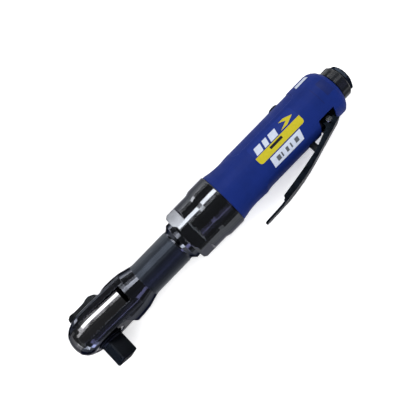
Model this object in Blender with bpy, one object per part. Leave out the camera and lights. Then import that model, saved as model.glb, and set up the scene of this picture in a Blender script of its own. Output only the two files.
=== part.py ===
"""Air ratchet with a half-inch square drive, modelled as separate pieces.

Sizes below are millimetres in the tool's own axes: X runs along the tool from the drive axis to the
air inlet, the drive points along -Y, and the tool lies on its side with +Z up.  The origin of the
finished part is the centre of the drive's end face.
"""

import math

import bmesh
import bpy
from mathutils import Matrix, Vector

MM = 0.001
GAP = 0.3

# ---------------------------------------------------------------- driving dimensions
DRIVE_SQUARE = 12.7
DRIVE_REACH = 29.6
DRIVE_TURN = math.radians(42.0)
FAR_FACE = Matrix.Rotation(math.pi + DRIVE_TURN, 4, "Y")

HEAD_TOP = 13.0
HEAD_BOTTOM = -12.1
HEAD_NOSE = 22.5
HEAD_NOSE_RIM = 10.6
HEAD_HALF_WIDTH = 20.4
HEAD_EDGE = 5.6
HEAD_TAIL = 34.5
SLOT_TOP = 7.0
SLOT_BOTTOM = -5.7
SLOT_END = 31.0

NECK_RADIUS = 13.1
NECK_START = 45.0
NECK_END = 76.8
COLLAR_RADIUS = 15.4
CRANK_BORE = 10.0
FLANGE_RADIUS = 17.2
FLANGE_FRONT = 86.4
FLANGE_BACK = 91.0

NUT_FRONT = 84.3
NUT_STEP = 107.0
NUT_BACK = 122.0
NUT_FRONT_RADIUS = 20.0
NUT_BACK_RADIUS = 21.1
NUT_BORE = 17.5
NUT_FLATS = 36.2
NUT_FLATS_END = 93.4
NUT_FLATS_TURN = math.radians(110.5)

GRIP_FRONT = 122.3
GRIP_BACK = 230.2
GRIP_RADIUS = 19.4
GRIP_CORNER = 9.5
GRIP_BORE = 17.5
HOUSING_RADIUS = 17.2
HOUSING_FRONT = 101.9
HOUSING_BACK = 226.5

RING_GEAR_FRONT = 91.3
RING_GEAR_BACK = 101.6
GEAR_MODULE = 1.0
SUN_TEETH = 9
PLANET_TEETH = 9
RING_TEETH = SUN_TEETH + 2 * PLANET_TEETH
PLANET_COUNT = 3
PLANET_ORBIT = GEAR_MODULE * (SUN_TEETH + PLANET_TEETH) / 2

MOTOR_FRONT = 108.0
MOTOR_BACK = 160.0
MOTOR_BORE = 15.4
CYLINDER_BORE = 12.6
CYLINDER_OFFSET = 1.5
ROTOR_RADIUS = 10.9
VANE_COUNT = 4
VANE_THICKNESS = 1.5
VANE_SLOT_DEPTH = 7.6

PAWL_PIVOT = Vector((0.0, 0.0, 8.6))
CRANK_THROW = 1.8
CRANK_BUSH_RADIUS = 3.4
YOKE_FORK_HALF = 7.8
YOKE_TAIL = 29.5

LEVER_PIVOT = Vector((210.0, -15.4, 0.0))
LEVER_HALF = 9.0
LEVER_SHEET = 1.5
LUG_HALF = 7.2
VALVE_X = 191.6

DEFLECTOR_RADIUS = 12.5
DEFLECTOR_BACK = 238.0
INLET_BACK = 242.3

ROUND = 40


# ---------------------------------------------------------------- scene and materials
def clear_scene():
    for obj in list(bpy.data.objects):
        bpy.data.objects.remove(obj, do_unlink=True)


def material(name, colour, metallic, roughness):
    mat = bpy.data.materials.new(name)
    mat.use_nodes = True
    shader = mat.node_tree.nodes["Principled BSDF"]
    shader.inputs["Base Color"].default_value = (*colour, 1.0)
    shader.inputs["Metallic"].default_value = metallic
    shader.inputs["Roughness"].default_value = roughness
    mat.diffuse_color = (*colour, 1.0)
    return mat


FINISHES = {
    "black_steel": ((0.035, 0.038, 0.047), 0.85, 0.22),
    "dark_steel": ((0.09, 0.095, 0.105), 0.9, 0.32),
    "bright_steel": ((0.52, 0.53, 0.55), 1.0, 0.28),
    "spring_steel": ((0.35, 0.35, 0.36), 1.0, 0.35),
    "aluminium": ((0.62, 0.63, 0.65), 1.0, 0.38),
    "blue_rubber": ((0.014, 0.03, 0.21), 0.0, 0.48),
    "black_plastic": ((0.02, 0.021, 0.023), 0.0, 0.42),
    "brass": ((0.62, 0.44, 0.16), 1.0, 0.3),
    "black_rubber": ((0.015, 0.015, 0.015), 0.0, 0.6),
    "vane_composite": ((0.16, 0.09, 0.045), 0.0, 0.55),
}


# ---------------------------------------------------------------- shape helpers
def axis_frame(axis):
    """Matrix that carries local +Z to the named tool axis and keeps the frame right-handed."""
    if axis == "X":
        return Matrix(((0, 0, 1), (1, 0, 0), (0, 1, 0))).to_4x4()
    if axis == "Y":
        return Matrix(((0, 1, 0), (0, 0, 1), (1, 0, 0))).to_4x4()
    return Matrix.Identity(4)


def turned(profile, axis="X", centre=(0, 0, 0), steps=ROUND):
    """Solid of revolution. The profile holds (position along the axis, radius) and closes itself."""
    bm = bmesh.new()
    verts = [bm.verts.new((radius, 0.0, along)) for along, radius in profile]
    edges = [bm.edges.new((verts[i], verts[(i + 1) % len(verts)])) for i in range(len(verts))]
    on_axis = [e for e in edges if all(v.co.x < 1e-6 for v in e.verts)]
    spun = [e for e in edges if e not in on_axis]
    bmesh.ops.spin(
        bm,
        geom=verts + spun,
        cent=(0, 0, 0),
        axis=(0, 0, 1),
        angle=2 * math.pi,
        steps=steps,
        use_merge=True,
    )
    bmesh.ops.delete(bm, geom=[e for e in on_axis if e.is_valid], context="EDGES")
    bmesh.ops.remove_doubles(bm, verts=bm.verts, dist=1e-5)
    tidy_faces(bm)
    bm.transform(Matrix.Translation(centre) @ axis_frame(axis))
    return bm


def prism(outline, low, high, axis="Z", centre=(0, 0, 0)):
    """Outline of (u, v) points pushed from low to high along the axis (XY, YZ or ZX plane)."""
    bm = bmesh.new()
    face = bm.faces.new([bm.verts.new((u, v, low)) for u, v in outline])
    grown = bmesh.ops.extrude_face_region(bm, geom=[face])
    moved = [g for g in grown["geom"] if isinstance(g, bmesh.types.BMVert)]
    bmesh.ops.translate(bm, verts=moved, vec=(0, 0, high - low))
    tidy_faces(bm)
    bm.transform(Matrix.Translation(centre) @ axis_frame(axis))
    return bm


def lofted(outlines, axis="Z", centre=(0, 0, 0)):
    """Skin over (height, outline) pairs that all have the same number of points."""
    bm = bmesh.new()
    loops = [[bm.verts.new((u, v, height)) for u, v in outline] for height, outline in outlines]
    for lower, upper in zip(loops, loops[1:]):
        for i in range(len(lower)):
            j = (i + 1) % len(lower)
            bm.faces.new((lower[i], lower[j], upper[j], upper[i]))
    bm.faces.new(loops[0][::-1])
    bm.faces.new(loops[-1])
    tidy_faces(bm)
    bm.transform(Matrix.Translation(centre) @ axis_frame(axis))
    return bm


def tidy_faces(bm):
    bmesh.ops.recalc_face_normals(bm, faces=bm.faces)
    if bm.calc_volume(signed=True) < 0:
        bmesh.ops.reverse_faces(bm, faces=bm.faces)


def box(low, high):
    bm = bmesh.new()
    size = Vector(high) - Vector(low)
    centre = (Vector(high) + Vector(low)) / 2
    matrix = Matrix.Translation(centre) @ Matrix.Diagonal((*size, 1.0))
    bmesh.ops.create_cube(bm, size=1.0, matrix=matrix)
    return bm


def ball(radius, centre, segments=16):
    bm = bmesh.new()
    matrix = Matrix.Translation(centre)
    bmesh.ops.create_uvsphere(bm, u_segments=segments, v_segments=segments // 2, radius=radius, matrix=matrix)
    return bm


def rod(radius, low, high, axis="X", centre=(0, 0, 0), steps=24, chamfer=0.0):
    """Plain round bar with chamfered ends."""
    profile = [(low, 0.0), (low, radius - chamfer), (low + chamfer, radius)]
    profile += [(high - chamfer, radius), (high, radius - chamfer), (high, 0.0)]
    if chamfer == 0.0:
        profile = [(low, 0.0), (low, radius), (high, radius), (high, 0.0)]
    return turned(profile, axis, centre, steps)


def ring(inner, outer, low, high, axis="X", centre=(0, 0, 0), steps=ROUND, chamfer=0.0):
    if chamfer == 0.0:
        profile = [(low, inner), (low, outer), (high, outer), (high, inner)]
    else:
        profile = [(low, inner), (low, outer - chamfer), (low + chamfer, outer)]
        profile += [(high - chamfer, outer), (high, outer - chamfer), (high, inner)]
    return turned(profile, axis, centre, steps)


def arc(centre, radius, start, end, count):
    """Points on an arc, angles in degrees."""
    points = []
    for i in range(count + 1):
        angle = math.radians(start + (end - start) * i / count)
        points.append((centre[0] + radius * math.cos(angle), centre[1] + radius * math.sin(angle)))
    return points


def gear_outline(teeth, root, tip, root_share, tip_share, phase=0.0):
    """Straight-sided teeth; the shares are the tooth's part of the pitch at root and tip."""
    points = []
    pitch = 2 * math.pi / teeth
    for i in range(teeth):
        middle = phase + i * pitch
        corners = ((root, -root_share), (tip, -tip_share), (tip, tip_share), (root, root_share))
        for radius, share in corners:
            angle = middle + share * pitch / 2
            points.append((radius * math.cos(angle), radius * math.sin(angle)))
    return points


def round_edges(bm, edges, width, segments=2):
    bmesh.ops.bevel(
        bm,
        geom=edges,
        offset=width,
        segments=segments,
        profile=0.5,
        affect="EDGES",
        clamp_overlap=True,
    )


def edges_where(bm, test):
    return [e for e in bm.edges if all(test(v.co) for v in e.verts)]


def helix(radius, wire, low, high, turns, axis, centre, per_turn=12, sides=6):
    """Coil spring: a ring of wire carried round and along the axis, with closed ends."""
    bm = bmesh.new()
    loops = []
    count = turns * per_turn
    for i in range(count + 1):
        angle = 2 * math.pi * i / per_turn
        height = low + wire + (high - low - 2 * wire) * i / count
        loop = []
        for k in range(sides):
            swing = 2 * math.pi * k / sides
            out = radius + wire * math.cos(swing)
            loop.append(
                bm.verts.new((out * math.cos(angle), out * math.sin(angle), height + wire * math.sin(swing)))
            )
        loops.append(loop)
    for a, b in zip(loops, loops[1:]):
        for k in range(sides):
            n = (k + 1) % sides
            bm.faces.new((a[k], a[n], b[n], b[k]))
    bm.faces.new(loops[0])
    bm.faces.new(loops[-1][::-1])
    tidy_faces(bm)
    bm.transform(Matrix.Translation(centre) @ axis_frame(axis))
    return bm


# ---------------------------------------------------------------- object helpers
class Builder:
    """Keeps the root empty, the materials and the cutters together."""

    def __init__(self):
        self.collection = bpy.context.scene.collection
        self.root = self.empty("tool_axis", Vector((0, DRIVE_REACH, 0)), None)
        self.materials = {}

    def empty(self, name, place, parent):
        obj = bpy.data.objects.new(name, None)
        obj.location = Vector(place) * MM
        obj.parent = parent
        obj.empty_display_size = 0.01
        self.collection.objects.link(obj)
        return obj

    def place(self, name, bm, parent, origin):
        """Mesh object whose shape is given in tool axes and whose origin is at the given point."""
        bm.transform(Matrix.Scale(MM, 4) @ Matrix.Translation(-Vector(origin)))
        mesh = bpy.data.meshes.new(name)
        bm.to_mesh(mesh)
        bm.free()
        mesh.shade_smooth()
        mesh.set_sharp_from_angle(angle=math.radians(32))
        obj = bpy.data.objects.new(name, mesh)
        obj.parent = parent or self.root
        parent_origin = Vector((0, 0, 0)) if parent is None else Vector(parent["tool_place"])
        obj.location = (Vector(origin) - parent_origin) * MM
        obj["tool_place"] = tuple(origin)
        self.collection.objects.link(obj)
        return obj

    def piece(self, name, finish, bm, parent=None, origin=(0, 0, 0)):
        obj = self.place(name, bm, parent, origin)
        colour, metallic, roughness = FINISHES[finish]
        obj.data.materials.append(material(name, colour, metallic, roughness))
        return obj

    def boolean(self, obj, bm, operation="DIFFERENCE"):
        cutter = self.place(f"{obj.name}_tool_{len(obj.modifiers)}", bm, None, (0, 0, 0))
        cutter.hide_render = True
        cutter.display_type = "WIRE"
        modifier = obj.modifiers.new(cutter.name, "BOOLEAN")
        modifier.operation = operation
        modifier.object = cutter
        modifier.solver = "EXACT"
        return cutter


# ---------------------------------------------------------------- head
def crown_share(height, power):
    """1 at mid height, 0 at the top and bottom faces of the head, on a rounded curve between."""
    middle = (HEAD_TOP + HEAD_BOTTOM) / 2
    share = min(1.0, abs(height - middle) / (HEAD_TOP - middle))
    return (1.0 - share ** power) ** (1 / power)


def nose_reach(height):
    """How far the crowned nose stands ahead of the drive axis at a height along Y."""
    return HEAD_NOSE_RIM + (HEAD_NOSE - HEAD_NOSE_RIM) * crown_share(height, 2.2)


def side_inset(height):
    """How far the crowned flanks stand in from the full width at a height along Y."""
    return HEAD_EDGE * (1.0 - crown_share(height, 1.8))


def head_plan(height, tail, inset=0.0):
    """Outline of the head at one height in the ZX plane: oval nose, straight flanks, given tail."""
    half = HEAD_HALF_WIDTH - side_inset(height) - inset
    nose = nose_reach(height) - inset
    front = [(half * math.cos(a), -nose * math.sin(a)) for a in (math.pi * i / 18 for i in range(19))]
    return [(z, x) for z, x in tail] + [(-z, x) for z, x in reversed(tail)] + front[::-1]


def ratchet_housing(tool):
    heights = (HEAD_BOTTOM, -11.8, -10.9, -9.3, -6.9, SLOT_BOTTOM + 0.5, SLOT_TOP - 0.5, 9.2, 11.2, 12.5)
    loops = []
    for height in (*heights, HEAD_TOP):
        inset = side_inset(height)
        tail = [(HEAD_HALF_WIDTH - inset, 7.0), (15.6 - inset, HEAD_TAIL)]
        loops.append((height, head_plan(height, tail)))
    housing = tool.piece("ratchet_housing", "black_steel", lofted(loops, "Y"))

    barrel = [(12.0, 0.0), (12.0, 12.0), (14.8, 13.5), (15.8, 15.3), (18.5, 16.3), (22.5, 16.8)]
    barrel += [(28.5, 16.6), (HEAD_TAIL, 15.9), (43.3, 13.5), (NECK_START, NECK_RADIUS)]
    barrel += [(NECK_END - 1.0, NECK_RADIUS), (NECK_END, 12.8), (78.2, 12.8), (81.0, COLLAR_RADIUS)]
    barrel += [(FLANGE_FRONT, COLLAR_RADIUS), (FLANGE_FRONT, FLANGE_RADIUS), (FLANGE_BACK, FLANGE_RADIUS)]
    barrel += [(FLANGE_BACK, 0.0)]
    tool.boolean(housing, turned(barrel), "UNION")

    belly = HEAD_BOTTOM - 0.1
    underside = [(0.0, belly), (18.4, belly), (22.4, belly - 4.8), (22.4, -30.0), (0.0, -30.0)]
    tool.boolean(housing, prism(underside, -30.0, 30.0, "Z"))
    slot = prism([(-30, -30), (30, -30), (30, SLOT_END), (-30, SLOT_END)], SLOT_BOTTOM, SLOT_TOP, "Y")
    tool.boolean(housing, slot)
    lower_bore = [(-20.0, 0.0), (-20.0, 12.5), (-11.6, 12.5), (-11.6, 13.1), (-10.3, 13.1), (-10.3, 12.5)]
    lower_bore += [(-8.6, 12.5), (-8.6, 12.3), (0.0, 12.3), (0.0, 8.5), (20.0, 8.5), (20.0, 0.0)]
    tool.boolean(housing, turned(lower_bore, "Y"))
    bore = [(14.7, 0.0), (14.7, 8.4), (33.8, 8.4), (33.8, CRANK_BORE), (82.6, CRANK_BORE), (82.6, 13.0)]
    bore += [(95.0, 13.0), (95.0, 0.0)]
    tool.boolean(housing, turned(bore))
    return housing


def ratchet_yoke(tool):
    """Forked ring with internal ratchet teeth; the crank's bushing works in its fork."""
    low = SLOT_BOTTOM + GAP
    high = SLOT_TOP - GAP
    loops = []
    for step in range(7):
        height = low + (high - low) * step / 6
        inset = side_inset(height)
        tail = [(HEAD_HALF_WIDTH - 0.5 - inset, 4.0), (14.6 - inset, 27.4), (12.0, YOKE_TAIL)]
        tail += [(YOKE_FORK_HALF, YOKE_TAIL), (YOKE_FORK_HALF, 17.6), (YOKE_FORK_HALF - 2.0, 15.6)]
        loops.append((height, head_plan(height, tail, 0.3)))
    body = lofted(loops, "Y")
    yoke = tool.piece("ratchet_yoke", "black_steel", body)
    teeth = gear_outline(24, 12.5, 13.7, 0.9, 0.12)
    tool.boolean(yoke, prism(teeth, -20, 20, "Y"))
    return yoke


def anvil(tool):
    square_top = -14.2
    collar = HEAD_BOTTOM - 0.3
    body = [(square_top, 0.0), (square_top, 8.0), (square_top + 0.6, 8.5), (collar, 8.5), (collar, 9.3)]
    body += [(-8.3, 9.3), (-8.3, 11.9)]
    body += [(SLOT_TOP - GAP, 11.9), (SLOT_TOP - GAP, 8.2), (HEAD_TOP - 0.4, 8.2), (HEAD_TOP - 0.4, 0.0)]
    piece = tool.piece("anvil", "dark_steel", turned(body, "Y"))

    half = DRIVE_SQUARE / 2
    blank = box((-half, -DRIVE_REACH, -half), (half, square_top + 2.0, half))
    corners = [e for e in blank.edges if abs(e.verts[0].co.y - e.verts[1].co.y) > 1.0]
    round_edges(blank, corners, 1.0, 3)
    rim = edges_where(blank, lambda co: co.y < -DRIVE_REACH + 0.01)
    round_edges(blank, rim, 1.1, 2)
    blank.transform(Matrix.Rotation(DRIVE_TURN, 4, "Y"))
    tool.boolean(piece, blank, "UNION")

    tool.boolean(piece, rod(3.2, -5.0, 20.0, "Y"))
    pocket = prism([(2.8, -8.6), (14.0, -8.6), (14.0, 8.6), (2.8, 8.6)], -4.4, 5.0, "Y")
    tool.boolean(piece, pocket)
    tool.boolean(piece, rod(1.3, -6.8, 5.9, "Y", PAWL_PIVOT, 16))
    ball_hole = rod(1.75, 1.6, 12.0, "Z", (0, -24.4, 0), 16)
    ball_hole.transform(FAR_FACE)
    tool.boolean(piece, ball_hole)
    return piece


def head_pieces(tool):
    ratchet_housing(tool)
    ratchet_yoke(tool)
    spindle = anvil(tool)
    tool.piece("thrust_washer", "bright_steel", ring(9.5, 12.1, -10.1, -8.7, "Y"))
    clip = ring(10.2, 12.8, -11.4, -10.5, "Y")
    snap = tool.piece("anvil_retaining_ring", "spring_steel", clip)
    tool.boolean(snap, box((-16.0, -14.0, -1.6), (-5.0, -8.0, 1.6)))

    hold = ball(1.6, FAR_FACE @ Vector((0, -24.4, 5.35)), 12)
    tool.piece("socket_ball", "bright_steel", hold, spindle)
    spring = helix(1.1, 0.22, 0.0, 1.7, 3, "Z", (0, 0, 0), 10, 5)
    spring.transform(FAR_FACE @ Matrix.Translation((0, -24.4, 1.9)))
    tool.piece("socket_ball_spring", "spring_steel", spring, spindle)

    reversing_lever(tool, spindle)
    pawl_piece(tool, spindle, PAWL_PIVOT)
    pin = rod(1.1, -6.5, 5.6, "Y", PAWL_PIVOT, 16)
    tool.piece("pawl_pin", "bright_steel", pin, spindle)


def reversing_lever(tool, spindle):
    """Low winged lever on top of the head, with a raised thumb pad at each end."""
    foot = HEAD_TOP + 0.3
    side = [(-13.0, foot + 0.4), (-12.9, foot + 2.6), (-11.6, foot + 4.7), (-8.9, foot + 5.6)]
    side += [(-5.6, foot + 4.9), (-2.5, foot + 4.7), (4.0, foot + 4.8), (6.6, foot + 5.5)]
    side += [(9.0, foot + 6.0), (11.0, foot + 5.2), (12.8, foot + 4.4), (13.6, foot + 3.4)]
    side += [(13.8, foot + 0.4)]
    wing = prism(side, -5.6, 5.6, "Z")
    lever = tool.piece("reversing_lever", "black_steel", wing, spindle)
    plan = arc((0, 1.0), 7.6, 40, 140, 10) + arc((-8.6, 0.0), 4.4, 140, 220, 8)
    plan += arc((0, -1.0), 7.6, 220, 320, 10) + arc((8.6, 0.0), 5.4, -40, 40, 8)
    trim = prism([(y, x) for x, y in plan], foot, foot + 9.0, "Y")
    tool.boolean(lever, trim, "INTERSECT")
    shaft = rod(2.95, -4.6, foot + 1.5, "Y", steps=24)
    tool.boolean(lever, shaft, "UNION")
    notch = [(0.4, -4.0), (4.0, -4.0), (4.0, 4.0), (0.4, 4.0)]
    tool.boolean(lever, prism(notch, -6.0, 4.8, "Y"))
    return lever


def pawl_piece(tool, spindle, origin):
    """Rocking pawl with two noses, tilted to the forward side at rest."""
    outline = [(1.8, -4.8), (2.3, -4.4), (1.9, -1.8), (1.9, 1.8), (2.3, 4.4), (1.8, 4.8)]
    outline += [(0.3, 5.0), (-1.9, 2.4), (-2.2, 0.0), (-1.9, -2.4), (0.3, -5.0)]
    body = prism(outline, -4.1, 4.7, "Y")
    body.transform(Matrix.Translation(origin) @ Matrix.Rotation(math.radians(5.0), 4, "Y"))
    pawl = tool.piece("pawl", "bright_steel", body, spindle, origin)
    tool.boolean(pawl, rod(1.25, -8.0, 8.0, "Y", origin, 16))
    return pawl


# ---------------------------------------------------------------- drive train
def planet_angle(index):
    return 2 * math.pi * index / PLANET_COUNT + math.pi / 2


def planet_centre(index, along):
    angle = planet_angle(index)
    return Vector((along, PLANET_ORBIT * math.cos(angle), PLANET_ORBIT * math.sin(angle)))


def crankshaft(tool):
    pin_centre = (0, CRANK_THROW, 0)
    shaft = [(31.4, 0.0), (31.4, 7.9), (33.4, 7.9), (33.4, 6.0), (83.6, 6.0), (83.6, 12.0)]
    shaft += [(87.6, 12.0), (87.6, 0.0)]
    crank = tool.piece("crankshaft", "dark_steel", turned(shaft))
    tool.boolean(crank, rod(2.0, 17.0, 32.0, "X", pin_centre, 20, 0.3), "UNION")
    bush = [(17.6, 2.2), (17.6, 2.9), (18.6, CRANK_BUSH_RADIUS), (24.4, CRANK_BUSH_RADIUS)]
    bush += [(25.4, 2.9), (25.4, 2.2)]
    tool.piece("crank_bushing", "bright_steel", turned(bush, "X", pin_centre, 20), crank)
    for index in range(PLANET_COUNT):
        centre = planet_centre(index, 0)
        pin = rod(1.5, 87.9, 99.4, "X", centre, 16, 0.2)
        tool.piece(f"planet_pin_{index + 1}", "bright_steel", pin, crank)
        planet_gear(tool, index, crank)
    return crank


def planet_gear(tool, index, crank):
    """Nine-tooth planet; a tooth points straight out and a gap faces the sun."""
    centre = planet_centre(index, 0)
    outline = gear_outline(PLANET_TEETH, 3.45, 5.25, 0.62, 0.2, planet_angle(index))
    body = prism(outline, 92.0, 99.0, "X", centre)
    gear = tool.piece(f"planet_gear_{index + 1}", "bright_steel", body, crank, centre)
    tool.boolean(gear, rod(1.75, 90.0, 101.0, "X", centre, 16))
    return gear


def ring_gear(tool):
    blank = turned([(RING_GEAR_FRONT, 0.0), (RING_GEAR_FRONT, FLANGE_RADIUS)] +
                   [(RING_GEAR_BACK, FLANGE_RADIUS), (RING_GEAR_BACK, 0.0)])
    gear = tool.piece("ring_gear", "dark_steel", blank)
    phase = math.pi / 2
    teeth = gear_outline(RING_TEETH, 12.75, 14.6, 0.86, 0.42, phase)
    tool.boolean(gear, prism(teeth, 85.0, 105.0, "X"))


def rotor(tool):
    """Vane rotor with its sun pinion in one piece on the tool axis."""
    front = MOTOR_FRONT + 6.0
    back = MOTOR_BACK - 6.0
    body = [(100.6, 0.0), (100.6, 3.2), (front, 3.2), (front, ROTOR_RADIUS), (back, ROTOR_RADIUS)]
    body += [(back, 3.2), (MOTOR_BACK - 0.6, 3.2), (MOTOR_BACK - 0.6, 0.0)]
    spinner = tool.piece("rotor", "bright_steel", turned(body))
    outline = gear_outline(SUN_TEETH, 3.45, 5.25, 0.62, 0.2, math.pi / 2)
    tool.boolean(spinner, prism(outline, 92.0, 101.2, "X"), "UNION")
    bottom = ROTOR_RADIUS - VANE_SLOT_DEPTH
    for index in range(VANE_COUNT):
        slot_half = VANE_THICKNESS / 2 + 0.12
        slot = box((front - 2, bottom, -slot_half), (back + 2, ROTOR_RADIUS + 3, slot_half))
        slot.transform(Matrix.Rotation(2 * math.pi * index / VANE_COUNT + math.pi / 4, 4, "X"))
        tool.boolean(spinner, slot)
    for index in range(VANE_COUNT):
        half = VANE_THICKNESS / 2
        blade = box((front + 0.3, bottom + 0.4, -half), (back - 0.3, ROTOR_RADIUS - 0.05, half))
        blade.transform(Matrix.Rotation(2 * math.pi * index / VANE_COUNT + math.pi / 4, 4, "X"))
        tool.piece(f"vane_{index + 1}", "vane_composite", blade, spinner)
    return spinner


def motor(tool):
    offset = (0, 0, CYLINDER_OFFSET)
    shell = turned([(MOTOR_FRONT + 5.7, 0.0), (MOTOR_FRONT + 5.7, MOTOR_BORE - 0.2)] +
                   [(MOTOR_BACK - 5.7, MOTOR_BORE - 0.2), (MOTOR_BACK - 5.7, 0.0)])
    cylinder = tool.piece("motor_cylinder", "bright_steel", shell)
    tool.boolean(cylinder, rod(CYLINDER_BORE, MOTOR_FRONT, MOTOR_BACK, "X", offset, ROUND))
    for index in range(4):
        port = rod(1.5, 8.0, 20.0, "Z", (120.0 + 9.0 * index, 0, 0), 12)
        port.transform(Matrix.Rotation(math.radians(130), 4, "X"))
        tool.boolean(cylinder, port)
    rear_race = MOTOR_BACK - 3.0
    ends = (
        ("front", MOTOR_FRONT, MOTOR_FRONT, (MOTOR_FRONT - 1.0, MOTOR_FRONT + 3.0)),
        ("rear", MOTOR_BACK - 5.4, rear_race, (rear_race, MOTOR_BACK + 1.0)),
    )
    for name, low, race, pocket in ends:
        plate = tool.piece(f"{name}_end_plate", "bright_steel", ring(3.5, MOTOR_BORE - 0.2, low, low + 5.4))
        tool.boolean(plate, rod(7.3, *pocket, "X"))
        bearing = ring(3.35, 7.1, race + 0.1, race + 2.7, "X", steps=24, chamfer=0.3)
        tool.piece(f"{name}_rotor_bearing", "bright_steel", bearing)
    tool.piece("motor_gasket", "black_rubber", ring(10.0, MOTOR_BORE - 0.2, 160.3, 161.3))


def drive_train(tool):
    crankshaft(tool)
    outer = CRANK_BORE - 0.1
    for name, low, high in (("crank_bearing", 34.4, 48.0), ("crank_rear_bearing", 66.0, 82.0)):
        tool.piece(name, "bright_steel", ring(6.15, outer, low, high, steps=24, chamfer=0.4))
    ring_gear(tool)
    rotor(tool)
    motor(tool)


# ---------------------------------------------------------------- nut, housing and grip
def clamp_nut(tool):
    """Round nut with six wrench flats milled on its front end."""
    outer = [(NUT_FRONT, 15.8), (NUT_FRONT, 18.4), (NUT_FRONT + 2.1, NUT_FRONT_RADIUS)]
    outer += [(NUT_STEP - 2.0, NUT_FRONT_RADIUS), (NUT_STEP + 1.6, NUT_BACK_RADIUS)]
    outer += [(NUT_BACK - 0.5, NUT_BACK_RADIUS), (NUT_BACK, NUT_BACK_RADIUS - 0.5)]
    inner = [(NUT_BACK, NUT_BORE), (FLANGE_FRONT - 0.3, NUT_BORE), (FLANGE_FRONT - 0.3, 15.8)]
    nut = tool.piece("clamp_nut", "black_steel", turned(outer + inner, steps=48))
    for index in range(6):
        flat = [(NUT_FRONT - 2.0, NUT_FLATS / 2), (NUT_FLATS_END, NUT_FLATS / 2)]
        flat += [(NUT_FLATS_END + 1.9, NUT_FRONT_RADIUS + 0.3), (NUT_FLATS_END + 1.9, 26.0)]
        flat += [(NUT_FRONT - 2.0, 26.0)]
        cutter = prism(flat, -16.0, 16.0, "Z")
        turn = NUT_FLATS_TURN + index * math.pi / 3
        cutter.transform(Matrix.Rotation(turn, 4, "X"))
        tool.boolean(nut, cutter)


def motor_housing(tool):
    """Aluminium body inside the grip: motor bore, valve bore, lever lug and air passages."""
    outer = [(HOUSING_FRONT, 0.0), (HOUSING_FRONT, HOUSING_RADIUS)]
    outer += rear_shoulder(HOUSING_RADIUS, HOUSING_BACK) + [(HOUSING_BACK, 0.0)]
    body = tool.piece("motor_housing", "aluminium", turned(outer))
    bore = [(95.0, 0.0), (95.0, 10.5), (MOTOR_FRONT - 0.3, 10.5), (MOTOR_FRONT - 0.3, MOTOR_BORE)]
    bore += [(161.6, MOTOR_BORE), (161.6, 8.0), (172.0, 8.0), (172.0, 4.5), (200.0, 4.5), (200.0, 6.0)]
    bore += [(216.0, 6.0), (216.0, 9.6), (240.0, 9.6), (240.0, 0.0)]
    tool.boolean(body, turned(bore))
    tool.boolean(body, rod(5.4, -30.0, 30.0, "Y", (VALVE_X, 0, 0), 32))
    lug = rod(3.8, -LUG_HALF, LUG_HALF, "Z", (LEVER_PIVOT.x, LEVER_PIVOT.y, 0))
    tool.boolean(body, lug, "UNION")
    for side in (-1, 1):
        low, high = sorted((side * LUG_HALF, side * 20.0))
        cheek = prism([(203.0, -30.0), (217.4, -30.0), (217.4, -9.6), (203.0, -9.6)], low, high, "Z")
        tool.boolean(body, cheek)
    tool.boolean(body, rod(2.0, -20.0, 20.0, "Z", (LEVER_PIVOT.x, LEVER_PIVOT.y, 0), 16))


def rear_shoulder(radius, back):
    """Rounded rear shoulder at an even depth under the grip's skin, cut off flat at the back."""
    centre = (GRIP_BACK - GRIP_CORNER, GRIP_RADIUS - GRIP_CORNER)
    bend = radius - centre[1]
    end = math.degrees(math.acos((back - centre[0]) / bend))
    return arc(centre, bend, 90, end, 4)


def grip_profile():
    """Outer curve of the grip, front to rear, as (along, radius)."""
    curve = [(GRIP_FRONT, 20.3), (125.0, 19.9), (128.0, 19.3), (132.0, 18.8), (136.5, 18.6)]
    curve += [(141.0, 18.8), (149.0, 19.2), (165.0, GRIP_RADIUS), (206.0, GRIP_RADIUS)]
    centre = (GRIP_BACK - GRIP_CORNER, GRIP_RADIUS - GRIP_CORNER)
    return curve + arc(centre, GRIP_CORNER, 88, 0, 6)


def handle_sleeve(tool):
    seat = HOUSING_BACK + GAP
    inside = [(seat, GRIP_RADIUS - GRIP_CORNER)] + rear_shoulder(GRIP_BORE, seat)[::-1]
    inside += [(GRIP_FRONT, GRIP_BORE)]
    sleeve = tool.piece("handle_sleeve", "blue_rubber", turned(grip_profile() + inside, steps=48))
    tool.boolean(sleeve, lever_side())
    tool.boolean(sleeve, curved_patch(146.0, 205.0, 18.9, 24.0, 34.0, 146.0, 5.0))
    window = [(202.9, -12.5), (217.0, -12.5), (214.6, -24.0), (200.9, -24.0), (200.9, -18.5)]
    tool.boolean(sleeve, prism(window, -24.0, 24.0, "Z"))
    tool.boolean(sleeve, rod(3.7, -30.0, -10.0, "Y", (VALVE_X, 0, 0), 24))
    tool.boolean(sleeve, rod(4.5, 10.0, 30.0, "Y", (VALVE_X, 0, 0), 24))
    return sleeve


def lever_side():
    """Cutter for the flatter, crowned lever side of the grip; it fades in from the front."""
    crown = 25.5
    loops = []
    for along, middle in ((144.5, 5.6), (146.5, 6.3), (149.0, 6.9), (152.5, 7.3), (260.0, 7.3)):
        curve = [(y + middle, z) for y, z in arc((0, 0), crown, 145, 215, 12)]
        loops.append((along, curve + [(-34.0, curve[-1][1]), (-34.0, curve[0][1])]))
    return lofted(loops, "X")


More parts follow.
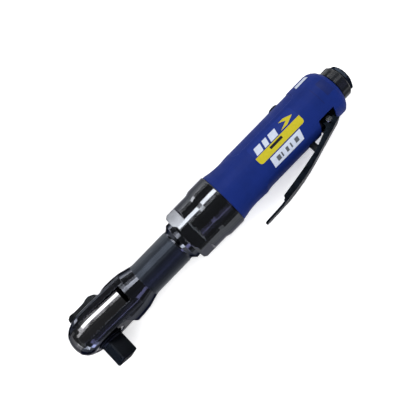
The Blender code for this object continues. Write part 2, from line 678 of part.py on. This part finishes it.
def curved_patch(low, high, inner, outer, start, end, corner, steps=14):
    """Solid between two radii round the X axis; angles in degrees from +Z, corners rounded."""
    bm = bmesh.new()
    loops = []
    width = inner * math.radians(end - start)
    for i in range(steps + 1):
        share = (1 - math.cos(math.pi * i / steps)) / 2
        angle = math.radians(start + (end - start) * share)
        margin = min(corner, min(share, 1 - share) * width)
        cut = corner - math.sqrt(corner ** 2 - (corner - margin) ** 2)
        edge = ((low + cut, inner), (high - cut, inner), (high - cut, outer), (low + cut, outer))
        loops.append([bm.verts.new((x, r * math.sin(angle), r * math.cos(angle))) for x, r in edge])
    for a, b in zip(loops, loops[1:]):
        for k in range(4):
            n = (k + 1) % 4
            bm.faces.new((a[k], a[n], b[n], b[k]))
    bm.faces.new(loops[0])
    bm.faces.new(loops[-1][::-1])
    tidy_faces(bm)
    return bm


def rear_end(tool):
    """Exhaust deflector ring, inlet bushing and its strainer."""
    points = []
    lobes = 12
    for i in range(lobes * 3):
        angle = 2 * math.pi * i / (lobes * 3)
        radius = DEFLECTOR_RADIUS - 0.5 * (1 + math.cos(lobes * angle)) / 2
        points.append((radius * math.cos(angle), radius * math.sin(angle)))
    front = GRIP_BACK + GAP
    cap = tool.piece("exhaust_deflector", "black_plastic", prism(points, front, DEFLECTOR_BACK, "X"))
    dome = [(220.0, 0.0), (220.0, 14.0), (DEFLECTOR_BACK - 1.2, 14.0), (DEFLECTOR_BACK - 1.2, 12.4)]
    dome += [(DEFLECTOR_BACK, 11.0), (250.0, 11.0), (250.0, 0.0)]
    tool.boolean(cap, turned(dome), "INTERSECT")
    tool.boolean(cap, rod(9.9, 220.0, 250.0, "X", steps=36))

    collar = DEFLECTOR_BACK + GAP
    stem = [(216.4, 5.0), (216.4, 9.3), (collar, 9.3), (collar, 10.8), (INLET_BACK - 2.0, 10.8)]
    stem += [(INLET_BACK, 7.6), (INLET_BACK, 6.4), (INLET_BACK - 0.8, 5.7), (219.5, 5.7), (219.5, 5.0)]
    inlet = tool.piece("inlet_bushing", "dark_steel", turned(stem))
    for index in range(6):
        flat = box((collar + 0.4, 9.6, -12.0), (INLET_BACK + 2.0, 16.0, 12.0))
        flat.transform(Matrix.Rotation(index * math.pi / 3 + math.radians(25), 4, "X"))
        tool.boolean(inlet, flat)
    tool.piece("inlet_strainer", "brass", ring(3.4, 5.4, 219.8, 227.0, "X", steps=24, chamfer=0.3))


# ---------------------------------------------------------------- throttle
LEVER_OUTER = (
    (130.2, -34.6),
    (142.0, -34.4),
    (153.0, -33.7),
    (162.0, -32.7),
    (170.5, -31.4),
    (179.0, -29.7),
    (187.5, -27.5),
    (196.0, -25.1),
    (204.6, -22.8),
    (211.0, -21.0),
    (216.6, -19.6),
)
FLANGE_EDGE = (
    (202.0, -19.3),
    (199.0, -20.2),
    (196.0, -21.3),
    (191.8, -22.8),
    (186.7, -24.2),
    (172.7, -26.8),
    (160.0, -28.7),
    (151.4, -29.8),
)


def throttle_lever(tool):
    """Pressed channel: a web, two flanges that grow into round pivot cheeks, and a flat tongue."""
    pivot = (LEVER_PIVOT.x, LEVER_PIVOT.y)
    cheek = arc(pivot, 5.2, -30, 205, 14)
    tongue = [(150.0, -32.4), (142.0, -32.9), (130.2, -33.1)]
    side = list(LEVER_OUTER) + cheek + list(FLANGE_EDGE) + tongue
    lever = tool.piece("throttle_lever", "black_steel", prism(side, -20, 20, "Z"), None, LEVER_PIVOT)

    plan = [(LEVER_HALF, 154.0), (LEVER_HALF, 222.0), (-LEVER_HALF, 222.0), (-LEVER_HALF, 154.0)]
    plan += [(-5.6, 146.0), (-5.6, 133.4), (-4.2, 130.8), (-1.8, 129.9), (1.8, 129.9), (4.2, 130.8)]
    plan += [(5.6, 133.4), (5.6, 146.0)]
    tool.boolean(lever, prism(plan, -60.0, 20.0, "Y"), "INTERSECT")

    channel = [(x, y + LEVER_SHEET) for x, y in LEVER_OUTER[:-1]]
    channel += [(222.0, -17.0), (222.0, 0.0), (140.0, 0.0)]
    channel[0] = (125.0, channel[0][1])
    inside = LEVER_HALF - LEVER_SHEET
    tool.boolean(lever, prism(channel, -inside, inside, "Z"))
    tool.boolean(lever, rod(2.0, -20.0, 20.0, "Z", (*pivot, 0), 16))


def lever_pin(tool):
    half = LEVER_HALF + GAP
    shape = [(-half - 1.1, 0.0), (-half - 1.1, 2.0), (-half - 0.7, 2.5), (-half, 2.5), (-half, 1.8)]
    shape += [(-along, radius) for along, radius in shape[::-1]]
    tool.piece("lever_pin", "bright_steel", turned(shape, "Z", (LEVER_PIVOT.x, LEVER_PIVOT.y, 0), 16))


def throttle_valve(tool):
    """Plunger under the lever, its bushing, poppet, return spring and the screw cap above."""
    place = (VALVE_X, 0, 0)
    web_top = -24.85
    plunger = [(web_top + GAP, 0.0), (web_top + 0.5, 0.8), (web_top + 1.1, 2.0), (web_top + 1.6, 2.6)]
    plunger += [(-9.0, 2.6), (-9.0, 1.3)]
    plunger += [(-5.6, 1.3), (-5.6, 4.3), (-2.6, 4.3), (-2.6, 1.6), (-0.6, 1.6), (-0.6, 0.0)]
    tool.piece("valve_plunger", "black_plastic", turned(plunger, "Y", place, 24), None, place)
    bushing = [(-16.3, 2.8), (-16.3, 5.2), (-6.0, 5.2), (-6.0, 3.0), (-7.0, 2.8)]
    tool.piece("valve_bushing", "brass", turned(bushing, "Y", place, 24))
    spring = helix(2.9, 0.4, -2.3, 9.4, 5, "Y", place, 10, 5)
    tool.piece("valve_spring", "spring_steel", spring)
    cap = [(9.7, 0.0), (9.7, 5.1), (16.2, 5.1), (16.2, 4.1), (19.3, 4.1), (19.9, 3.4), (19.9, 0.0)]
    screw = tool.piece("valve_cap", "dark_steel", turned(cap, "Y", place, 24))
    tool.boolean(screw, box((VALVE_X - 5.5, 19.3, -0.6), (VALVE_X + 5.5, 24.0, 0.6)))


def throttle(tool):
    throttle_lever(tool)
    lever_pin(tool)
    throttle_valve(tool)


def main():
    clear_scene()
    tool = Builder()
    head_pieces(tool)
    drive_train(tool)
    clamp_nut(tool)
    motor_housing(tool)
    handle_sleeve(tool)
    rear_end(tool)
    throttle(tool)


main()
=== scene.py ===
"""Looks of the air ratchet: finishes, grip decals, studio light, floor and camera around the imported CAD."""

import math
import bmesh
import bpy
from mathutils import Matrix, Vector


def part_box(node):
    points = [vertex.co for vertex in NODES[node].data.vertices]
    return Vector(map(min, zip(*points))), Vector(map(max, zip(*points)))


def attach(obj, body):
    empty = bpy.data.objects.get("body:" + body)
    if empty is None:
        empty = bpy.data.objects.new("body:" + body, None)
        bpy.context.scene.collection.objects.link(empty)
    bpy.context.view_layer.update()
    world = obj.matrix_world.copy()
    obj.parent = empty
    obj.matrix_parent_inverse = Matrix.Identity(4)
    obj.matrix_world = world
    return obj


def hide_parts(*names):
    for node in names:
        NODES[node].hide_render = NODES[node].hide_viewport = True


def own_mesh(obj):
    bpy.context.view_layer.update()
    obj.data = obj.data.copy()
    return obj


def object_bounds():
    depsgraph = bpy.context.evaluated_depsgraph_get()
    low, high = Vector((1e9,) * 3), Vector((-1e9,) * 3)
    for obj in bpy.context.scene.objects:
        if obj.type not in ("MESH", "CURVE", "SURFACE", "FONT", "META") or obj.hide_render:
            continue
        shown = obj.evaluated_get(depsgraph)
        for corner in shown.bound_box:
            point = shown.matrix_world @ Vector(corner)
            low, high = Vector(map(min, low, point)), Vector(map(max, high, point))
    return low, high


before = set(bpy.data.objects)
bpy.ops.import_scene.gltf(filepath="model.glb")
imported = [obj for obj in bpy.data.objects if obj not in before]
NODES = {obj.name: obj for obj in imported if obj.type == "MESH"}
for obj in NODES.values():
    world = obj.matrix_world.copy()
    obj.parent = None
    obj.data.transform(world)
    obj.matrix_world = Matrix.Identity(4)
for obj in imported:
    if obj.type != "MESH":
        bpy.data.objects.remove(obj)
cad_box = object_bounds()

MM = 0.001

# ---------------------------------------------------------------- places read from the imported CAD
nut_low, nut_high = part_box("clamp_nut")
grip_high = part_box("handle_sleeve")[1]
AXIS_Y = (nut_low.y + nut_high.y) / 2
AXIS_X = Vector((1, 0, 0))

# sizes that repeat the CAD's own: the grip's skin and rear corner
GRIP_RADIUS = 19.4 * MM
GRIP_CORNER = 9.5 * MM
CORNER_START = grip_high.x - GRIP_CORNER

# the satin stretch of the head, from the foot of its cone to the end of the turned neck
NECK_START = 43.4 * MM
NECK_END = 76.8 * MM

# camera basis: TOWARD points from the tool to the camera, UPWARD away from the square drive
TILT = math.radians(11.5)
TOWARD = Vector((0, -math.sin(TILT), math.cos(TILT)))
UPWARD = Vector((0, math.cos(TILT), math.sin(TILT)))


# ---------------------------------------------------------------- material kit
BEVEL_SAMPLES = 4
TURNED_LINES = (2600.0, 40.0, 40.0)
PRESSED_LINES = (60.0, 900.0, 60.0)
LATHE_LINES = (1500.0, 30.0, 30.0)
PLATED_EDGE = 0.4 * MM
MOULDED_EDGE = 0.6 * MM
NECK_FADE = 0.6 * MM
# cosine between the surface's own normal and the bevelled one, where the edge lightening (partly scuffing,
# partly painted highlight) is full and where it ends
FULL_SCUFF_AND_HIGHLIGHT = 0.86
NO_SCUFF_AND_HIGHLIGHT = 0.985


def scaled(colour, factor):
    return tuple(c * factor for c in colour)


class Kit:
    """Short names for building one node tree."""

    def __init__(self, name):
        self.mat = bpy.data.materials.new(name)
        self.mat.use_nodes = True
        self.tree = self.mat.node_tree
        self.shader = self.tree.nodes["Principled BSDF"]

    def node(self, kind, **inputs):
        made = self.tree.nodes.new(kind)
        for key, value in inputs.items():
            made.inputs[key.replace("_", " ")].default_value = value
        return made

    def link(self, start, end):
        self.tree.links.new(start, end)

    def place(self, scale=(1, 1, 1)):
        """Object coordinates, stretched; they stay with the piece in every pose."""
        coord = self.node("ShaderNodeTexCoord")
        mapping = self.node("ShaderNodeMapping", Scale=scale)
        self.link(coord.outputs["Object"], mapping.inputs["Vector"])
        return mapping.outputs["Vector"]

    def noise(self, scale, detail=3.0, roughness=0.55, stretch=(1, 1, 1)):
        made = self.node("ShaderNodeTexNoise", Scale=scale, Detail=detail, Roughness=roughness)
        self.link(self.place(stretch), made.inputs["Vector"])
        return made.outputs["Fac"]

    def spread(self, value, low, high, start=0.3, end=0.7):
        """Maps a value between start and end onto low to high."""
        made = self.node("ShaderNodeMapRange", From_Min=start, From_Max=end, To_Min=low, To_Max=high)
        self.link(value, made.inputs["Value"])
        return made.outputs["Result"]

    def mix(self, factor, first, second):
        made = self.tree.nodes.new("ShaderNodeMix")
        made.data_type = "RGBA"
        self.link(factor, made.inputs["Factor"])
        for socket, value in ((made.inputs[6], first), (made.inputs[7], second)):
            if isinstance(value, tuple):
                socket.default_value = (*value, 1.0)
            else:
                self.link(value, socket)
        return made.outputs[2]

    def band(self, start, end):
        """1 between two places along the tool, in metres, else 0, with a short fade after each place."""
        split = self.node("ShaderNodeSeparateXYZ")
        self.link(self.place(), split.inputs[0])
        rise = self.spread(split.outputs["X"], 0.0, 1.0, start, start + NECK_FADE)
        fall = self.spread(split.outputs["X"], 1.0, 0.0, end, end + NECK_FADE)
        both = self.node("ShaderNodeMath")
        both.operation = "MULTIPLY"
        self.link(rise, both.inputs[0])
        self.link(fall, both.inputs[1])
        return both.outputs[0]

    def bevel(self, radius):
        """Surface normal as if the edges were rounded."""
        made = self.node("ShaderNodeBevel", Radius=radius)
        made.samples = BEVEL_SAMPLES
        return made.outputs["Normal"]

    def edges(self, radius, scuff_and_highlight_amount):
        """0 on open surfaces, rising to the given amount on edges: lightening that is partly scuffing, partly
        painted highlight.
        """
        dot = self.node("ShaderNodeVectorMath")
        dot.operation = "DOT_PRODUCT"
        self.link(self.bevel(radius), dot.inputs[0])
        self.link(self.node("ShaderNodeNewGeometry").outputs["Normal"], dot.inputs[1])
        return self.spread(dot.outputs["Value"], scuff_and_highlight_amount, 0.0, FULL_SCUFF_AND_HIGHLIGHT, NO_SCUFF_AND_HIGHLIGHT)

    def bump(self, height, strength, distance, bevel_radius=0.0):
        made = self.node("ShaderNodeBump", Strength=strength, Distance=distance)
        self.link(height, made.inputs["Height"])
        if bevel_radius:
            self.link(self.bevel(bevel_radius), made.inputs["Normal"])
        self.link(made.outputs["Normal"], self.shader.inputs["Normal"])

    def grind(self, lines):
        """Fine grinding lines under the plating, over softened edges."""
        self.bump(self.noise(1.0, 3.0, 0.6, lines), 0.10, 0.04 * MM, 0.35 * MM)

    def set(self, **values):
        for key, value in values.items():
            self.shader.inputs[key.replace("_", " ")].default_value = value

    def feed(self, name, socket):
        self.link(socket, self.shader.inputs[name])


def plated(name, tone, roughness, turned=True, edge=0.35):
    """Black plated steel: cloudy gloss, fine grinding lines and slightly brighter edges, partly scuffing and
    partly painted highlight.
    """
    kit = Kit(name)
    cloud = kit.spread(kit.noise(90.0, 4.0), 0.0, 1.0)
    # lighter edges: partly scuffing, partly painted highlight
    scuff_and_highlight = kit.edges(PLATED_EDGE, 0.3)
    body = kit.mix(cloud, tone, scaled(tone, 1.25))
    kit.feed("Base Color", kit.mix(scuff_and_highlight, body, scaled(tone, 2.2)))
    kit.feed("Roughness", kit.spread(kit.noise(240.0, 5.0, 0.6), roughness * 0.8, roughness * 1.35))
    kit.grind(TURNED_LINES if turned else PRESSED_LINES)
    kit.set(Metallic=1.0, Specular_Tint=(edge, edge, edge * 1.05, 1.0))
    return kit.mat


def head_black(name, polished, satin, edge=0.35):
    """Black plated forging: glossy head and collar, and a satin turned neck between them."""
    kit = Kit(name)
    neck = kit.band(NECK_START, NECK_END)
    cloud = kit.spread(kit.noise(90.0, 4.0), 0.0, 1.0)
    body = kit.mix(neck, polished, satin)
    lighter = kit.mix(neck, scaled(polished, 1.25), scaled(satin, 1.25))
    clouded = kit.mix(cloud, body, lighter)
    # lighter edges: partly scuffing, partly painted highlight
    scuff_and_highlight = kit.edges(PLATED_EDGE, 0.3)
    kit.feed("Base Color", kit.mix(scuff_and_highlight, clouded, scaled(polished, 2.0)))
    added_in_neck = 0.3
    roughness = kit.node("ShaderNodeMath")
    roughness.operation = "MULTIPLY_ADD"
    roughness.inputs[1].default_value = added_in_neck
    kit.link(neck, roughness.inputs[0])
    kit.link(kit.spread(kit.noise(240.0, 5.0, 0.6), 0.11, 0.19), roughness.inputs[2])
    kit.feed("Roughness", roughness.outputs[0])
    kit.grind(TURNED_LINES)
    kit.feed("Specular Tint", kit.mix(neck, (edge, edge, edge * 1.05), (0.95, 0.97, 1.0)))
    kit.set(Metallic=1.0)
    return kit.mat


def ground_steel(name, colour, roughness, stretch=LATHE_LINES):
    """Bare metal with grinding lines and a little staining."""
    kit = Kit(name)
    stain = kit.spread(kit.noise(160.0, 4.0), 0.0, 1.0)
    kit.feed("Base Color", kit.mix(stain, colour, scaled(colour, 0.7)))
    kit.feed("Roughness", kit.spread(kit.noise(1.0, 3.0, 0.6, stretch), roughness * 0.75, roughness * 1.4))
    kit.bump(kit.noise(1.0, 3.0, 0.6, stretch), 0.18, 0.05 * MM)
    kit.set(Metallic=1.0)
    return kit.mat


def moulded(name, colour, roughness, grain, depth=0.06, tone_end=None, specular=0.4, edge_scuff_and_highlight=0.35):
    """Moulded rubber or plastic: pebble grain, its depth in millimetres, mottled tone and lighter edges,
    partly scuffing and partly painted highlight.
    """
    kit = Kit(name)
    mottled = tone_end or scaled(colour, 0.75)
    tone = kit.spread(kit.noise(55.0, 5.0, 0.62), 0.0, 1.0)
    body = kit.mix(tone, colour, mottled)
    # lighter edges: partly scuffing, partly painted highlight
    scuff_and_highlight = kit.edges(MOULDED_EDGE, edge_scuff_and_highlight)
    lighter = tuple(min(1.0, c * 1.5 + 0.01) for c in colour)
    kit.feed("Base Color", kit.mix(scuff_and_highlight, body, lighter))
    kit.feed("Roughness", kit.spread(kit.noise(120.0, 4.0), roughness * 0.85, roughness * 1.2))
    kit.bump(kit.noise(grain, 2.0, 0.5), 0.35, depth * MM, 0.4 * MM)
    kit.set(IOR=1.5, Specular_IOR_Level=specular)
    return kit.mat


def print_film(name, colour, roughness=0.46):
    """Printed label film: almost even ink with faint speckle."""
    kit = Kit(name)
    speckle = kit.spread(kit.noise(700.0, 3.0), 0.0, 1.0, 0.35, 0.75)
    kit.feed("Base Color", kit.mix(speckle, colour, scaled(colour, 0.88)))
    kit.feed("Roughness", kit.spread(kit.noise(200.0, 3.0), roughness * 0.85, roughness * 1.2))
    kit.bump(kit.noise(1400.0, 2.0), 0.12, 0.02 * MM)
    kit.set(Specular_IOR_Level=0.02)
    return kit.mat


GRIP_BLUE = (0.0080, 0.0218, 0.154)
GRIP_BLUE_DEEP = (0.0066, 0.0178, 0.120)

FINISH = {
    "gloss": plated("gloss_black", (0.038, 0.040, 0.044), 0.12, edge=0.5),
    "head": head_black("head_black", (0.032, 0.034, 0.040), (0.011, 0.013, 0.017), 0.3),
    "yoke": plated("yoke_black", (0.062, 0.062, 0.065), 0.13, False),
    "pressed": plated("pressed_black", (0.005, 0.007, 0.010), 0.28, False, 0.2),
    "pin": plated("pin_black", (0.09, 0.095, 0.10), 0.2, False),
    "square": plated("square_black", (0.007, 0.008, 0.010), 0.42, False, 0.25),
    "inlet": plated("inlet_black", (0.010, 0.013, 0.018), 0.5, edge=0.02),
    "ground": ground_steel("ground_steel", (0.50, 0.51, 0.53), 0.26),
    "shaft": ground_steel("shaft_steel", (0.20, 0.205, 0.215), 0.3),
    "spring": ground_steel("spring_steel", (0.34, 0.34, 0.36), 0.33, (300.0, 300.0, 300.0)),
    "alloy": ground_steel("dark_alloy", (0.045, 0.048, 0.054), 0.42),
    "brass": ground_steel("machined_brass", (0.60, 0.42, 0.15), 0.3),
    # the grip's edges get the full lightening: partly scuffing, partly painted highlight along its sharp
    # edges
    "grip": moulded("blue_grip", GRIP_BLUE, 0.5, 1700.0, 0.06, GRIP_BLUE_DEEP, 0.02, 1.0),
    "plastic": moulded("black_plastic", (0.004, 0.0055, 0.008), 0.4, 1500.0, 0.05, specular=0.1),
    "gasket": moulded("black_gasket", (0.012, 0.012, 0.012), 0.6, 900.0),
    "vane": moulded("vane_composite", (0.15, 0.085, 0.04), 0.55, 1200.0),
}

USED_BY = {
    "gloss": ("clamp_nut", "reversing_lever"),
    "head": ("ratchet_housing",),
    "yoke": ("ratchet_yoke",),
    "pin": ("lever_pin",),
    "pressed": ("throttle_lever",),
    "square": ("anvil",),
    "inlet": ("inlet_bushing", "valve_cap"),
    "shaft": ("crankshaft", "ring_gear"),
    "spring": ("anvil_retaining_ring", "socket_ball_spring", "valve_spring"),
    "alloy": ("motor_housing",),
    "brass": ("inlet_strainer", "valve_bushing"),
    "grip": ("handle_sleeve",),
    "plastic": ("exhaust_deflector", "valve_plunger"),
    "gasket": ("motor_gasket",),
    "vane": ("vane_1", "vane_2", "vane_3", "vane_4"),
}


def finish_nodes():
    """Gives every node its finish; nodes that USED_BY doesn't name are ground steel."""
    chosen = {node: FINISH["ground"] for node in NODES}
    for finish, names in USED_BY.items():
        for node in names:
            chosen[node] = FINISH[finish]
    for node, obj in NODES.items():
        obj.data.materials.clear()
        obj.data.materials.append(chosen[node])


# ---------------------------------------------------------------- decals on the grip
DEGREES_PER_CUT = 3.0
ARC_STEPS = 6


def on_grip(along, angle, lift):
    """Point on the grip: millimetres along the tool, degrees from +Z towards +Y, lift above the skin."""
    turn = math.radians(angle)
    past = along * MM - CORNER_START
    radius = GRIP_RADIUS + lift * MM
    if past > 0.0:
        radius += math.sqrt(GRIP_CORNER ** 2 - past ** 2) - GRIP_CORNER
    return Vector((along * MM, AXIS_Y + radius * math.sin(turn), radius * math.cos(turn)))


def decal(name, outline, lift, mat):
    """Thin film that follows the grip, printed or painted in shade; the outline is (along, angle) points,
    counter-clockwise.
    """
    flat = bmesh.new()
    face = flat.faces.new([flat.verts.new((along, angle, 0.0)) for along, angle in outline])
    face.normal_update()
    first = min(along for along, _ in outline)
    last = max(along for along, _ in outline)
    low = min(angle for _, angle in outline)
    high = max(angle for _, angle in outline)
    cuts = max(1, int((high - low) / DEGREES_PER_CUT))
    levels = [(0, low + (high - low) * i / cuts, 0) for i in range(1, cuts)]
    planes = [(level, (0, 1, 0)) for level in levels]
    # a film that reaches the grip's rounded rear corner is also cut every millimetre along the tool
    if last > CORNER_START / MM:
        planes += [((along, 0, 0), (1, 0, 0)) for along in range(int(first) + 1, math.ceil(last))]
    for place, normal in planes:
        geom = flat.verts[:] + flat.edges[:] + flat.faces[:]
        bmesh.ops.bisect_plane(flat, geom=geom, plane_co=place, plane_no=normal)
    for vert in flat.verts:
        vert.co = on_grip(vert.co.x, vert.co.y, lift)
    bmesh.ops.recalc_face_normals(flat, faces=flat.faces)
    for face in flat.faces:
        middle = face.calc_center_median()
        outward = Vector((0, middle.y - AXIS_Y, middle.z))
        if face.normal.dot(outward) < 0:
            face.normal_flip()
    mesh = bpy.data.meshes.new(name)
    flat.to_mesh(mesh)
    flat.free()
    mesh.shade_smooth()
    obj = bpy.data.objects.new(name, mesh)
    bpy.context.scene.collection.objects.link(obj)
    mesh.materials.append(mat)
    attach(obj, "tool_body")


def rounded(low_x, high_x, low_angle, high_angle, corner, lower=True, upper=True):
    """Rectangle with its corners rounded below, above or both; the corner radius is in millimetres."""
    degrees = corner / (math.radians(1.0) * GRIP_RADIUS / MM)
    points = []
    corners = (
        (high_x, high_angle, 0, upper),
        (low_x, high_angle, 90, upper),
        (low_x, low_angle, 180, lower),
        (high_x, low_angle, 270, lower),
    )
    for x, angle, start, soft in corners:
        if not soft:
            points.append((x, angle))
            continue
        sign_x = 1 if x == high_x else -1
        sign_angle = 1 if angle == high_angle else -1
        centre_x = x - sign_x * corner
        centre_angle = angle - sign_angle * degrees
        for i in range(ARC_STEPS + 1):
            turn = math.radians(start + 90 * i / ARC_STEPS)
            points.append((centre_x + corner * math.cos(turn), centre_angle + degrees * math.sin(turn)))
    return points


def slanted(start, width, low_angle, high_angle, slant):
    """Bar across the grip whose upper end is shifted along the tool."""
    end = start + width
    return [(start, low_angle), (end, low_angle), (end + slant, high_angle), (start + slant, high_angle)]


def grip_decals():
    """Generic label films, and two films in a darker blue than the grip: painted shade that stands for the
    relief of its moulded marks.
    """
    panel = print_film("label_blue", (0.0098, 0.0250, 0.170))
    yellow = print_film("label_yellow", (0.47, 0.405, 0.024))
    white = print_film("label_white", (0.50, 0.55, 0.66))
    ink = print_film("label_ink", (0.012, 0.013, 0.02), 0.5)
    grey = print_film("label_grey", (0.09, 0.10, 0.115), 0.5)
    # darker blue than the grip: painted shade of the moulded relief
    relief_shade_film = moulded("grip_relief_shade", (0.0068, 0.0165, 0.110), 0.6, 700.0, 0.12, specular=0.05)

    decal("label_panel", rounded(154.6, 195.8, -3.2, 25.2, 2.2, lower=False), 0.05, panel)
    decal("label_stripe", rounded(154.6, 195.8, -20.0, -2.9, 2.2, upper=False), 0.06, yellow)

    # plain geometric mark: three slanted bars and an arrowhead
    bars = ((157.0, 5.8), (164.6, 3.8), (170.2, 6.6))
    for index, (start, width) in enumerate(bars):
        bar = slanted(start, width, -1.2, 14.4, 1.6)
        decal(f"label_bar_{index + 1}", bar, 0.09, white)
    arrow = [(180.2, 0.4), (186.2, 0.4), (193.2, 8.2), (187.2, 16.0), (182.6, 16.0), (187.2, 8.2)]
    decal("label_arrow", arrow, 0.09, yellow)
    decal("label_line", rounded(166.6, 177.8, -11.4, -5.8, 0.4), 0.1, ink)

    plate = [(160.4, -45.0), (187.8, -45.0), (189.6, -22.4), (161.6, -22.4)]
    decal("size_label", plate, 0.07, white)
    first_tick = 165.0
    tick_spacing = 4.2
    for index, width in enumerate((3.2, 1.2, 2.2, 1.2, 3.2)):
        tick = slanted(first_tick + tick_spacing * index, width, -39.2, -29.0, 0.4)
        decal(f"size_tick_{index + 1}", tick, 0.1, grey)

    patch = [(209.6, 47.0), (221.0, 47.0), (220.0, 58.5), (210.4, 58.5)]
    decal("rear_patch", patch, 0.07, white)
    # painted shade: a darker blue panel and a thin darker line where the grip has moulded marks
    decal("blank_panel_shade", rounded(218.6, 225.4, -17.0, 17.5, 0.5), 0.04, relief_shade_film)
    decal("seam_line_shade", rounded(213.2, 213.6, -24.0, 17.5, 0.15), 0.03, relief_shade_film)


# ---------------------------------------------------------------- valve spring
def valve_spring():
    """Stands for the CAD spring: a copy of its mesh on the tool body, with the CAD spring hidden."""
    source = NODES["valve_spring"]
    coil = bpy.data.objects.new("valve_spring_coil", source.data.copy())
    coil.matrix_world = source.matrix_world.copy()
    bpy.context.scene.collection.objects.link(coil)
    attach(coil, "tool_body")
    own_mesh(coil)
    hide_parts("valve_spring")


# ---------------------------------------------------------------- stage, light and camera
FLOOR_HALF = 4.0
FLOOR_CELLS = 24
FLOOR_GAP = 0.2 * MM
FLOOR_GLOW = 0.42
STRIP_MIDDLE = 115.0 * MM
STRIP_DISTANCE = 0.65
STRIP_LENGTH = 1.3
CARD_DISTANCE = 0.5
WHITE = (1.0, 1.0, 1.0)


def stage():
    """Pale floor just under the tool; its glow keeps the shadow faint, as on a light table."""
    grid = bmesh.new()
    bmesh.ops.create_grid(grid, x_segments=FLOOR_CELLS, y_segments=FLOOR_CELLS, size=FLOOR_HALF)
    mesh = bpy.data.meshes.new("floor")
    grid.to_mesh(mesh)
    grid.free()
    floor = bpy.data.objects.new("floor", mesh)
    floor.location = (0.11, AXIS_Y, cad_box[0][2] - FLOOR_GAP)
    bpy.context.scene.collection.objects.link(floor)
    kit = Kit("floor_paper")
    tone = kit.spread(kit.noise(3.0, 2.0), 0.0, 1.0)
    kit.feed("Base Color", kit.mix(tone, (0.90, 0.90, 0.905), (0.88, 0.88, 0.885)))
    kit.set(Roughness=0.9, Specular_IOR_Level=0.1)
    kit.set(Emission_Color=(*WHITE, 1.0), Emission_Strength=FLOOR_GLOW)
    mesh.materials.append(kit.mat)


def softbox(name, place, axes, size, power, colour):
    """Area light of a given length and width; the axes are its own X, Y and Z, and it shines along -Z."""
    data = bpy.data.lights.new(name, "AREA")
    data.shape = "RECTANGLE"
    data.size, data.size_y = size
    data.energy = power
    data.color = colour
    obj = bpy.data.objects.new(name, data)
    obj.matrix_world = Matrix.Translation(place) @ Matrix(axes).transposed().to_4x4()
    bpy.context.scene.collection.objects.link(obj)
    return obj


def softbox_along(name, angle, distance, size, power, colour):
    """Softbox along the tool, turned from the camera's direction towards the tool's top edge."""
    turn = math.radians(angle)
    direction = TOWARD * math.cos(turn) + UPWARD * math.sin(turn)
    across = direction.cross(AXIS_X).normalized()
    place = Vector((STRIP_MIDDLE, AXIS_Y, 0.0)) + direction * distance
    return softbox(name, place, (AXIS_X, across, direction), size, power, colour)


def strip(name, angle, width, power, colour):
    """Long narrow softbox for reflections; it doesn't light diffuse surfaces."""
    light = softbox_along(name, angle, STRIP_DISTANCE, (STRIP_LENGTH, width), power, colour)
    light.visible_diffuse = False


def card(name, angle, rise, size, power, colour):
    """Square card for reflections, placed around the head: turned along the tool, then raised."""
    turn = math.radians(angle)
    lift = math.radians(rise)
    direction = TOWARD * math.cos(turn) + AXIS_X * math.sin(turn)
    direction = direction * math.cos(lift) + UPWARD * math.sin(lift)
    side = UPWARD.cross(direction).normalized()
    place = Vector((0, AXIS_Y, 0)) + direction * CARD_DISTANCE
    light = softbox(name, place, (side, direction.cross(side), direction), (size, size), power, colour)
    light.visible_diffuse = False


def lights():
    """Three strips and three cards for the reflections, and one wide wash that lights the surfaces."""
    strip("key_strip", 40.5, 0.15, 15.0, WHITE)
    strip("cool_strip", -37.0, 0.07, 3.6, (0.58, 0.56, 1.0))
    strip("side_strip", 99.5, 0.13, 7.0, (1.0, 0.99, 0.98))
    card("nose_card", -62.0, 24.0, 0.05, 0.10, WHITE)
    card("blue_card", -74.0, -48.0, 0.22, 2.6, (0.62, 0.66, 1.0))
    card("left_card", -101.0, -12.0, 0.30, 8.5, (0.95, 0.98, 1.0))
    wash = softbox_along("overhead_wash", 12.0, 1.6, (3.0, 3.0), 62.0, WHITE)
    wash.visible_glossy = False
    world = bpy.data.worlds.new("studio")
    world.use_nodes = True
    background = world.node_tree.nodes["Background"]
    background.inputs["Color"].default_value = (0.95, 0.97, 1.0, 1.0)
    background.inputs["Strength"].default_value = 0.2
    bpy.context.scene.world = world
    bpy.context.scene.view_settings.view_transform = "Standard"


def camera():
    """Looks down on the tool with its axis on the frame's rising diagonal."""
    distance = 0.401
    lift = 1.1 * MM
    swing = math.radians(1.7)
    turn = math.radians(45.74)
    foot = Vector((0.0983, AXIS_Y, 0.0))
    look = (AXIS_X * math.sin(swing) - TOWARD * math.cos(swing)).normalized()
    along = (AXIS_X - look * AXIS_X.dot(look)).normalized()
    over = (-look).cross(along)
    right = along * math.cos(turn) - over * math.sin(turn)
    up = along * math.sin(turn) + over * math.cos(turn)
    data = bpy.data.cameras.new("camera")
    data.sensor_width = 36.0
    data.lens = 49.7143
    data.clip_start = 0.01
    obj = bpy.data.objects.new("camera", data)
    rotation = Matrix((right, up, -look)).transposed().to_4x4()
    obj.matrix_world = Matrix.Translation(foot + TOWARD * distance + UPWARD * lift) @ rotation
    bpy.context.scene.collection.objects.link(obj)
    bpy.context.scene.camera = obj


finish_nodes()
grip_decals()
valve_spring()
stage()
lights()
camera()
